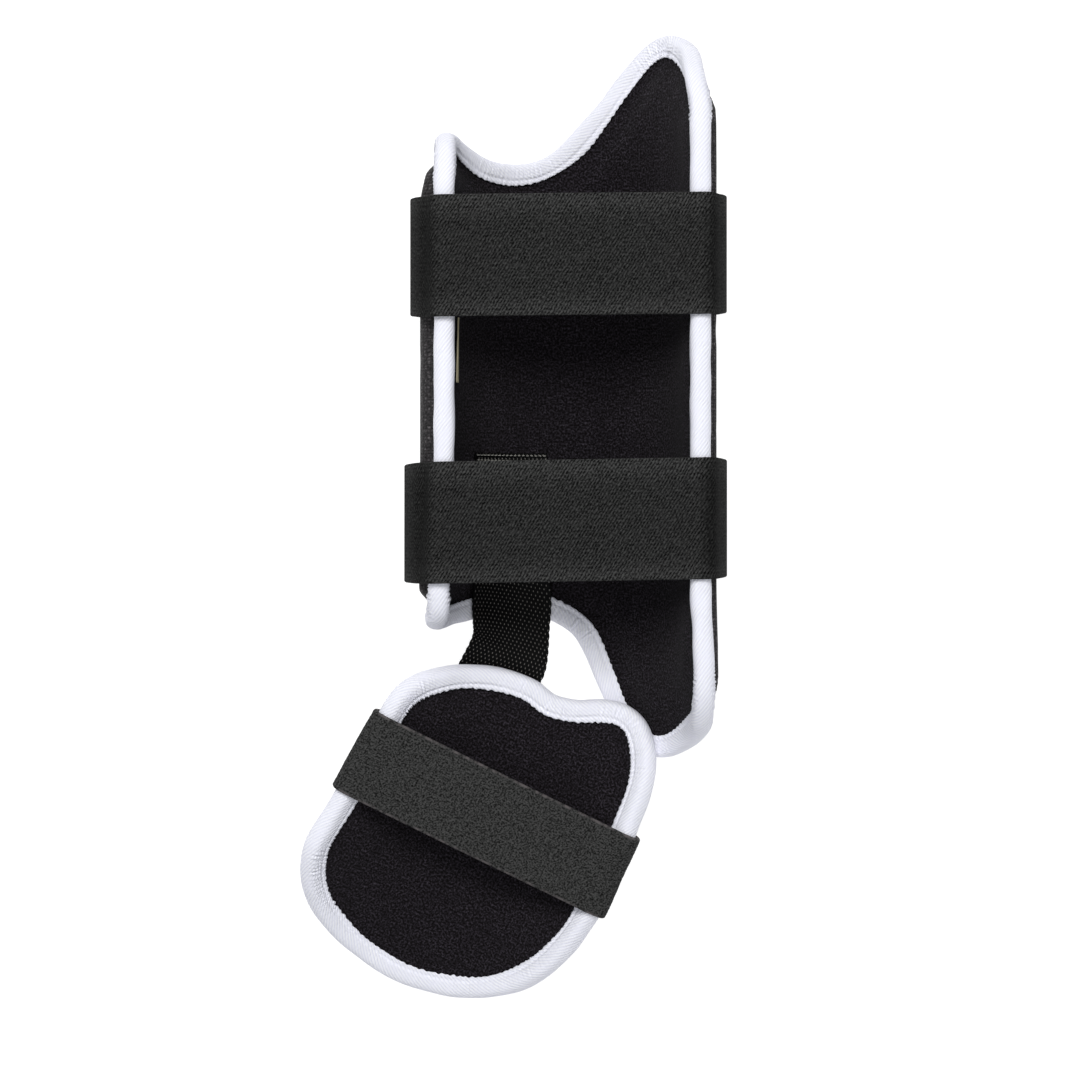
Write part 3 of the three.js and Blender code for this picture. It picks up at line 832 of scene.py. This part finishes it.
class Shader:
    """A procedural material, built by short calls whose inputs are values or other nodes' outputs."""

    def __init__(self, name, settings):
        self.material = bpy.data.materials.new(name)
        self.material.use_nodes = True
        self.tree = self.material.node_tree
        self.surface = self.tree.nodes["Principled BSDF"]
        for socket, value in settings.items():
            self.surface.inputs[socket].default_value = value

    def feed(self, socket, value):
        if isinstance(value, bpy.types.NodeSocket):
            self.tree.links.new(value, socket)
        else:
            socket.default_value = value

    def node(self, kind, inputs, **settings):
        made = self.tree.nodes.new(kind)
        for key, value in settings.items():
            setattr(made, key, value)
        for socket, value in inputs.items():
            self.feed(made.inputs[socket], value)
        return made

    def read(self, name, output="Vector"):
        return self.node("ShaderNodeAttribute", {}, attribute_name=name).outputs[output]

    def split(self, vector):
        return self.node("ShaderNodeSeparateXYZ", {0: vector}).outputs[:2]

    def join(self, x, y):
        return self.node("ShaderNodeCombineXYZ", {0: x, 1: y}).outputs[0]

    def math(self, operation, a, b=0.0):
        return self.node("ShaderNodeMath", {0: a, 1: b}, operation=operation).outputs[0]

    def stretch(self, vector, u, v):
        inputs = {0: vector, 1: (u, v, 1.0)}
        return self.node("ShaderNodeVectorMath", inputs, operation="MULTIPLY").outputs[0]

    def noise(self, vector, size, detail=2.0):
        """Noise with features of about one size, in millimetres of cloth."""
        inputs = {"Vector": vector, "Scale": 1.0 / size, "Detail": detail, "Roughness": 0.6}
        return self.node("ShaderNodeTexNoise", inputs).outputs["Fac"]

    def random(self, vector):
        return self.node("ShaderNodeTexWhiteNoise", {"Vector": vector}).outputs["Value"]

    def cell(self, u, v, wide, tall):
        """The place of a cell of this size, the same all over it."""
        shares = [self.math("DIVIDE", u, wide), self.math("DIVIDE", v, tall)]
        return self.join(*(self.math("FLOOR", share) for share in shares))

    def warp(self, vector, size, reach):
        """The vector, drawn aside unevenly by up to half of this reach."""
        noise = self.node("ShaderNodeTexNoise", {"Vector": vector, "Scale": 1.0 / size}).outputs["Color"]
        inputs = {0: noise, 1: (reach, reach, 0.0), 2: vector}
        return self.node("ShaderNodeVectorMath", inputs, operation="MULTIPLY_ADD").outputs[0]

    def ramp(self, value, low, high):
        """0 below low, 1 above high, and smooth between them."""
        inputs = {"Value": value, "From Min": low, "From Max": high}
        return self.node("ShaderNodeMapRange", inputs, interpolation_type="SMOOTHSTEP").outputs[0]

    def between(self, value, low, high):
        return self.node("ShaderNodeMapRange", {"Value": value, "To Min": low, "To Max": high}).outputs[0]

    def bands(self, value, pitch):
        """A triangle wave from 0 to 0.5 and back in each pitch."""
        return self.math("PINGPONG", self.math("DIVIDE", value, pitch), 0.5)

    def blend(self, share, a, b):
        return self.node("ShaderNodeMix", {0: share, 6: a, 7: b}, data_type="RGBA").outputs[2]

    def finish(self, base, height, depth, strength=1.0):
        """Sets the colour, and a relief of this depth in millimetres."""
        self.feed(self.surface.inputs["Base Color"], base)
        inputs = {"Height": height, "Distance": depth * MM, "Strength": strength}
        self.tree.links.new(self.node("ShaderNodeBump", inputs).outputs[0], self.surface.inputs["Normal"])
        return self.material


def lining_material():
    """Short black pile on a fine knit, with faint rows across."""
    shader = Shader("black_pile", {"Roughness": 0.95, "Specular IOR Level": 0.1, "Sheen Weight": 0.03})
    speck_size, row_size, patch_size, depth = 0.9, 1.2, 24.0, 0.3
    dark, light = colour(10, 7, 8), colour(70, 65, 73)
    cloth = shader.read("cloth")
    specks = shader.ramp(shader.noise(cloth, speck_size, 3.0), 0.4, 0.75)
    rows = shader.noise(shader.stretch(cloth, 0.2, 1.0), row_size, 1.0)
    patches = shader.noise(cloth, patch_size)
    tone = shader.math("MULTIPLY", specks, shader.between(rows, 0.1, 1.5))
    tone = shader.math("MULTIPLY", tone, shader.between(patches, 0.6, 1.3))
    height = shader.math("ADD", specks, shader.math("MULTIPLY", rows, 0.5))
    return shader.finish(shader.blend(tone, dark, light), height, depth)


def cover_material():
    """Coarse dark woven cover with light flecks where threads cross over."""
    shader = Shader("dark_cover", {"Roughness": 0.85, "Specular IOR Level": 0.2, "Sheen Weight": 0.03})
    pitch, fuzz_size, depth = 1.5, 0.9, 0.3
    dark, light = colour(18, 16, 17), colour(112, 107, 109)
    cloth = shader.read("cloth")
    u, v = shader.split(shader.warp(cloth, 2.5, 1.2))
    warp, weft = (shader.ramp(shader.bands(x, pitch), 0.0, 0.4) for x in (u, v))
    crossing = shader.math("MULTIPLY", warp, weft)
    fleck = shader.random(shader.cell(u, v, pitch, pitch))
    tone = shader.math("MULTIPLY", crossing, shader.ramp(fleck, 0.1, 1.2))
    fuzz = shader.noise(cloth, fuzz_size)
    tone = shader.math("MULTIPLY", shader.math("ADD", tone, 0.2), shader.ramp(fuzz, 0.25, 0.75))
    height = shader.math("ADD", crossing, shader.math("MULTIPLY", fuzz, 0.5))
    return shader.finish(shader.blend(tone, dark, light), height, depth)


def binding_material():
    """White twill tape: fine slanting ribs, a few grey smudges."""
    shader = Shader("white_tape", {"Roughness": 0.85, "Specular IOR Level": 0.2})
    rib_pitch, wear_size, smudge_size, fibre_size, depth = 1.25, 5.5, 2.6, 0.5, 0.14
    fresh, worn_white = colour(250, 250, 255), colour(244, 244, 253)
    shade, grey = colour(216, 217, 236), colour(160, 161, 182)
    cloth = shader.read("cloth")
    s, t = shader.split(shader.warp(cloth, 6.0, 0.8))
    slant = shader.math("ADD", shader.math("MULTIPLY", s, 0.62), shader.math("MULTIPLY", t, 0.78))
    ribs = shader.ramp(shader.bands(slant, rib_pitch), 0.0, 0.4)
    worn = shader.ramp(shader.noise(cloth, wear_size, 3.0), 0.35, 0.75)
    smudge = shader.ramp(shader.noise(cloth, smudge_size), 0.66, 0.8)
    gaps = shader.math("MULTIPLY", shader.math("SUBTRACT", 1.0, ribs), shader.between(worn, 0.5, 0.2))
    ribbed = shader.blend(gaps, shader.blend(worn, fresh, worn_white), shade)
    base = shader.blend(shader.math("MULTIPLY", smudge, 0.2), ribbed, grey)
    raised = shader.math("MULTIPLY", ribs, shader.between(worn, 1.0, 0.5))
    return shader.finish(base, shader.math("ADD", raised, shader.noise(cloth, fibre_size)), depth)


def elastic_material():
    """Charcoal elastic: slanting ribs parted by rows of short dark dashes, and painted shade where a leg
    strap turns down over the rim.
    """
    shader = Shader("twill_elastic", {"Roughness": 0.9, "Specular IOR Level": 0.03})
    dash_pitch, row_pitch, slope, lint_size, depth = 1.4, 1.5, 0.62, 1.0, 0.25
    dark, light = colour(5, 5, 5), colour(72, 72, 71)
    cloth = shader.read("cloth")
    u, v = shader.split(shader.warp(cloth, 3.0, 1.3))
    slanted = shader.math("SUBTRACT", u, shader.math("MULTIPLY", v, slope))
    rib = shader.ramp(shader.bands(slanted, dash_pitch), 0.0, 0.4)
    tie = shader.ramp(shader.bands(v, row_pitch), 0.0, 0.3)
    fleck = shader.random(shader.cell(slanted, v, dash_pitch, row_pitch))
    dash = shader.math("MULTIPLY", shader.math("SUBTRACT", 1.0, rib), shader.between(tie, 0.4, 1.0))
    height = shader.math("SUBTRACT", 1.0, shader.math("MULTIPLY", dash, shader.between(fleck, 0.5, 1.2)))
    lint = shader.ramp(shader.noise(cloth, lint_size), 0.2, 0.85)
    edge = shader.ramp(shader.math("ABSOLUTE", v), LEG_STRAP.width / 4, LEG_STRAP.width / 2)
    # Painted shade: the tone darkens where a leg strap turns down over the rim, by distance along it from its
    # middle.
    away = shader.math("ABSOLUTE", u)
    fold_shade_begins, fold_shade_eases = shader.ramp(away, PAINTED_FOLD_SHADE.start, PAINTED_FOLD_SHADE.dark), shader.ramp(away, PAINTED_FOLD_SHADE.ease, PAINTED_FOLD_SHADE.end)
    painted_fold_shade = shader.math("SUBTRACT", fold_shade_begins, fold_shade_eases)
    tone = shader.math("MULTIPLY", height, shader.between(lint, 0.05, 1.05))
    tone = shader.math("MULTIPLY", tone, shader.between(edge, 0.95, 1.45))
    tone = shader.math("MULTIPLY", tone, shader.between(painted_fold_shade, 1.0, PAINTED_FOLD_SHADE.tone))
    return shader.finish(shader.blend(tone, dark, light), height, depth)


def loop_material():
    """Grey loop elastic with a lighter, broken selvedge bead along each edge."""
    shader = Shader("loop_elastic", {"Roughness": 0.95, "Specular IOR Level": 0.1})
    fine_size, break_length, bead_width, bead_fade, depth = 0.75, 5.0, 0.5, 0.8, 0.35
    dark, light, pale = colour(13, 13, 12), colour(73, 73, 72), colour(94, 89, 89)
    cloth = shader.read("cloth")
    _, v = shader.split(cloth)
    fine = shader.noise(cloth, fine_size, 1.0)
    loops = shader.math("MULTIPLY", shader.read("relief", "Fac"), 0.3)
    tone = shader.ramp(shader.math("ADD", loops, fine), 0.4, 0.9)
    bead = FOOT_STRAP.width / 2 - bead_width
    edge = shader.ramp(shader.math("ABSOLUTE", v), bead - bead_fade, bead)
    broken = shader.ramp(shader.noise(shader.stretch(cloth, 1.0, 0.0), break_length), 0.4, 0.6)
    base = shader.blend(shader.math("MULTIPLY", edge, broken), shader.blend(tone, dark, light), pale)
    return shader.finish(base, fine, depth)


def webbing_material():
    """Black webbing with a painted highlight: the tops of its raised threads are coloured light."""
    shader = Shader("black_webbing", {"Roughness": 0.5, "Specular IOR Level": 0.08})
    fibre_size, depth = 0.6, 0.1
    dark, light = colour(3, 3, 3), colour(132, 129, 124)
    cloth = shader.read("cloth")
    # Painted highlight: the raised threads' tops, read from the weave's relief, take the light colour.
    tone = shader.ramp(shader.read("relief", "Fac"), 0.7, 1.0)
    fibre = shader.noise(shader.stretch(cloth, 3.0, 0.6), fibre_size)
    tone = shader.math("MULTIPLY", tone, shader.between(fibre, 0.3, 1.5))
    return shader.finish(shader.blend(tone, dark, light), fibre, depth)


def label_material():
    """Pale tan woven label with fine cross ribs."""
    shader = Shader("tan_label", {"Roughness": 0.8, "Specular IOR Level": 0.2})
    warp_pitch, weft_pitch, mottle_size, depth = 0.7, 0.5, 2.0, 0.12
    tan, cream = colour(204, 192, 156), colour(236, 230, 206)
    cloth = shader.read("cloth")
    u, v = shader.split(cloth)
    pitches = ((u, warp_pitch), (v, weft_pitch))
    ribs = shader.math("MULTIPLY", *(shader.ramp(shader.bands(x, pitch), 0.0, 0.5) for x, pitch in pitches))
    mottle = shader.noise(cloth, mottle_size)
    return shader.finish(shader.blend(shader.math("MULTIPLY", ribs, mottle), tan, cream), ribs, depth)


def thread_material(name, dark, light):
    shader = Shader(name, {"Roughness": 0.7, "Specular IOR Level": 0.3})
    cloth = shader.read("cloth")
    twist = shader.noise(shader.stretch(cloth, 9.0, 9.0), 1.0, 2.0)
    return shader.finish(shader.blend(twist, dark, light), twist, 0.05)


def floor_material():
    """A pale board that is lit from below, as a light table is, so that shadows on it stay soft."""
    settings = {"Roughness": 0.9, "Specular IOR Level": 0.1, "Emission Strength": FLOOR_GLOW}
    shader = Shader("pale_floor", {**settings, "Emission Color": (1.0, 1.0, 1.0, 1.0)})
    place = shader.node("ShaderNodeTexCoord", {}).outputs["Object"]
    tint = shader.node("ShaderNodeTexNoise", {"Vector": place, "Scale": 3.0}).outputs["Fac"]
    return shader.finish(shader.blend(tint, colour(158, 158, 159), colour(162, 162, 162)), tint, 0.0)


# Pieces


def foot_placing(rim):
    """Turns, tilts and drops a point of the foot pad to where it lies on the floor."""
    turn = Matrix.Rotation(math.radians(FOOT.yaw), 3, "Z") @ Matrix.Rotation(math.radians(FOOT.tilt), 3, "X")
    turn = np.array(turn)
    around = np.linspace(-math.pi / 2, math.pi / 2, BINDING.nose_steps + 1)
    place, angle = np.meshgrid(rim.places, around)
    nose = rim.at(place, BINDING.half * np.cos(angle), BINDING.half * np.sin(angle))
    lowest = (nose.reshape(-1, 3) @ turn.T)[:, 2].min()
    return lambda points: points @ turn.T + np.array([FOOT.x, FOOT.y, -lowest])


def add_pad(prefix, pad, edge, division, rim, place, looks):
    cover, lining = pad_layers(pad, edge, division, place)
    make_piece(prefix + "_cover", *cover, looks.cover, "outer_cover", prefix + "_shell")
    make_piece(prefix + "_pile", *lining, looks.lining, "lining", prefix + "_lining")
    tape = binding_mesh(rim, place)
    make_piece(prefix + "_tape", *tape, looks.binding, "binding", prefix + "_binding", ring=rim.length)
    make_piece(prefix + "_tape_stitches", *binding_threads(rim, place), looks.white_thread, "binding")


def tail_seams(length, width):
    """Boxes of stitches that hold a strap's two tails, as corners along and across it."""
    half = width / 2 - TAIL_SEAM.inset
    ends = (TAIL_SEAM.inset, TAIL_SEAM.inset + TAIL_SEAM.depth)
    boxes = []
    for near, far in (ends, [length - end for end in ends]):
        boxes.append([(near, -half), (near, half), (far, half), (far, -half), (near, -half)])
    return boxes


def add_strap(name, node, slot, strap, line, material, thread, relief=None):
    """A strap along lines that lie side by side, and the seams of its two tails."""
    places, half = strap_rows(strap)
    grid, along = line_grid([line(share) for share in places], strap.step)
    v, u = np.meshgrid(places, along - along[-1] / 2, indexing="ij")
    raised = relief(u, v) if relief else np.zeros(u.shape)
    pile = PILE_HEIGHT * raised * (half / half.max())[:, None]
    woven = (*ribbon(grid, half[:, None], pile), both_faces(flat_cloth(u, v)))
    band = make_piece(name, *woven, material, slot, node, both_faces(raised))
    width = places[-1] - places[0]
    reader = grid_reader(grid)
    height = half.max() + pile.max() / 2
    seams = [seam_threads(reader, box, TAIL_SEAM.pitch, height) for box in tail_seams(along[-1], width)]
    make_piece(name + "_stitches", *threads(*joined(seams)), thread, slot)


def loop_relief(u, v):
    return sum(row.share * grain(u, v, row.size, row.seed) for row in LOOP_GRAINS)


def add_leg_straps(rim, looks):
    for row in LEG_STRAPS:

        def line(share):
            return smooth_line(leg_strap_nodes(rim, row, share))

        add_strap(row.name, row.node, "elastic", LEG_STRAP, line, looks.elastic, looks.dark_thread)


def add_foot_strap(rim, place, looks):
    def line(share):
        return place(smooth_line(foot_strap_nodes(rim, FOOT_STRAP.along + share)))

    names = ("foot_band", "foot_strap", "foot_elastic")
    add_strap(*names, FOOT_STRAP, line, looks.loops, looks.dark_thread, loop_relief)


def weave_relief(u, v):
    """Plain weave: threads stand up where they cross over, in a chequer."""
    i, j = u / WEAVE.warp, v / WEAVE.weft
    bump = np.sqrt(np.abs(np.sin(math.pi * i) * np.sin(math.pi * j)))
    over = (np.floor(i) + np.floor(j)) % 2
    return bump * np.where(over > 0, 1.0, WEAVE.low)


def add_webbing(foot_place, looks):
    shares = np.linspace(-1.0, 1.0, WEBBING.strands)
    lines = [smooth_line(webbing_nodes(share, foot_place)) for share in shares]
    grid, along = line_grid(lines, WEBBING.step)
    u, v = np.meshgrid(shares * WEBBING.leg_half, along, indexing="ij")
    raised = weave_relief(u, v)
    edge = WEAVE.edge * smooth(1.0 - (1.0 - np.abs(shares)) * WEAVE.edge_part) * np.sign(shares)
    scallop = edge[:, None] * np.abs(np.sin(math.pi / 2 * v / WEAVE.weft))
    grid = grid + unit(np.gradient(grid, axis=0)) * scallop[..., None]
    half, height = WEBBING.thickness / 2 - WEAVE.height, WEAVE.height * raised
    woven = (*ribbon(grid, half, height, height), both_faces(flat_cloth(u, v)))
    relief = both_faces(raised)
    tether = make_piece("woven_tether", *woven, looks.webbing, "webbing", "tether_webbing", relief)
    reader = grid_reader(grid)
    level = WEBBING.thickness / 2
    rows = [[(place, -WEBBING_SEAM.half), (place, WEBBING_SEAM.half)] for place in WEBBING_SEAM.rows]
    top = joined([seam_threads(reader, row, WEBBING_SEAM.pitch, level) for row in rows])
    make_piece("tether_top_stitches", *threads(*top), looks.grey_thread, "webbing")
    box = tail_seams(along[-1], 2 * WEBBING.foot_half)[1]
    under = seam_threads(reader, box, TAIL_SEAM.pitch, level, -1.0)
    make_piece("tether_foot_stitches", *threads(*under), looks.dark_thread, "webbing")


def add_label(rim, looks, columns=24, rows=45):
    t, s = np.meshgrid(np.linspace(-0.5, 0.5, rows), np.linspace(-0.5, 0.5, columns), indexing="ij")
    across, along = LABEL.across + s * LABEL.width, LABEL.along + t * LABEL.length
    over = lining_height(LEG, rim.across(-1.0, LABEL.along) - np.abs(across)) + 2 * GAP + LABEL.thickness / 2
    lift = (LABEL.lift + LABEL.skew * t) * (0.5 - s)
    grid = pad_point(LEG, across, along, over + lift)
    woven = (*ribbon(grid, LABEL.thickness / 2), both_faces(flat_cloth(s * LABEL.width, t * LABEL.length)))
    make_piece("plain_label", *woven, looks.label, "label", "side_label")


# Stage, light and camera


def add_floor(reach=3.0):
    corners = [(x * reach, y * reach, 0.0) for x, y in ((-1, -1), (1, -1), (1, 1), (-1, 1))]
    mesh = bpy.data.meshes.new("floor")
    mesh.from_pydata(corners, [], [(0, 1, 2, 3)])
    mesh.materials.append(floor_material())
    floor = bpy.data.objects.new("floor", mesh)
    floor.location.z = -FLOOR_DROP * MM
    bpy.context.scene.collection.objects.link(floor)


def add_light(row):
    light = bpy.data.lights.new(row.name, "AREA")
    light.size = row.size
    light.energy = row.power
    lamp = bpy.data.objects.new(row.name, light)
    lamp.location = row.place
    lamp.rotation_euler = (-Vector(row.place)).to_track_quat("-Z", "Y").to_euler()
    bpy.context.scene.collection.objects.link(lamp)


def add_studio():
    world = bpy.data.worlds.new("studio")
    world.use_nodes = True
    world.node_tree.nodes["Background"].inputs["Color"].default_value = WORLD_TINT
    world.node_tree.nodes["Background"].inputs["Strength"].default_value = WORLD_LIGHT
    bpy.context.scene.world = world
    for lamp in LAMPS:
        add_light(lamp)
    bpy.context.scene.view_settings.view_transform = "Standard"


def add_camera():
    lens = bpy.data.cameras.new("camera")
    lens.lens = CAMERA.lens
    lens.sensor_width = CAMERA.sensor
    camera = bpy.data.objects.new("camera", lens)
    camera.location = ORIGIN + np.array([CAMERA.x, CAMERA.y, CAMERA.height]) * MM
    bpy.context.scene.collection.objects.link(camera)
    bpy.context.scene.camera = camera


# The whole guard


def build():
    looks = SimpleNamespace(
        cover=cover_material(),
        lining=lining_material(),
        binding=binding_material(),
        elastic=elastic_material(),
        loops=loop_material(),
        webbing=webbing_material(),
        label=label_material(),
        white_thread=thread_material("white_thread", colour(222, 221, 232), colour(246, 245, 250)),
        grey_thread=thread_material("grey_thread", colour(120, 118, 112), colour(176, 174, 168)),
        dark_thread=thread_material("dark_thread", colour(46, 46, 45), colour(88, 87, 86)),
    )
    add_camera()
    leg_rim, foot_rim = Rim(LEG, LEG_EDGE), Rim(FOOT, FOOT_EDGE)
    foot_place = foot_placing(foot_rim)
    add_pad("leg", LEG, LEG_EDGE, LEG_GRID, leg_rim, lambda points: points, looks)
    add_pad("foot", FOOT, FOOT_EDGE, FOOT_GRID, foot_rim, foot_place, looks)
    add_leg_straps(leg_rim, looks)
    add_foot_strap(foot_rim, foot_place, looks)
    add_webbing(foot_place, looks)
    add_label(leg_rim, looks)
    add_floor()
    add_studio()


build()
